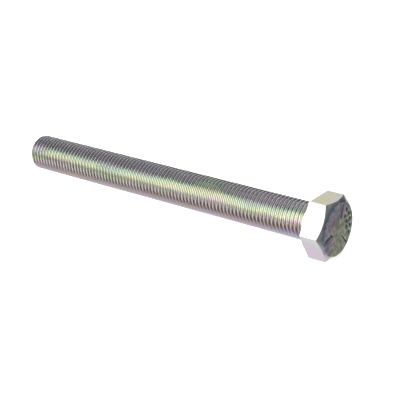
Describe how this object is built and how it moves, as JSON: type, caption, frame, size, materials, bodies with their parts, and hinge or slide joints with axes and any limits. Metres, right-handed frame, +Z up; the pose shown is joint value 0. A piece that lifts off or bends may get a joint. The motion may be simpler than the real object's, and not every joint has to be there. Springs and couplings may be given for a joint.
{
  "type": "hex bolt",
  "caption": "Fully threaded hexagon head bolt with a washer face, chamfered head and chamfered point.",
  "frame": {"origin": "centre of the bearing (washer) face under the head", "axes": "+X out through the top of the head with the shank along -X, +Z up with one flat of the head facing down, +Y across"},
  "size_m": [0.0949, 0.0164, 0.0142],
  "materials": {
    "plated_steel": "zinc plated steel with a thin iridescent chromate film"
  },
  "bodies": {
    "root": {"hex_bolt": "plated_steel"}
  },
  "joints": []
}
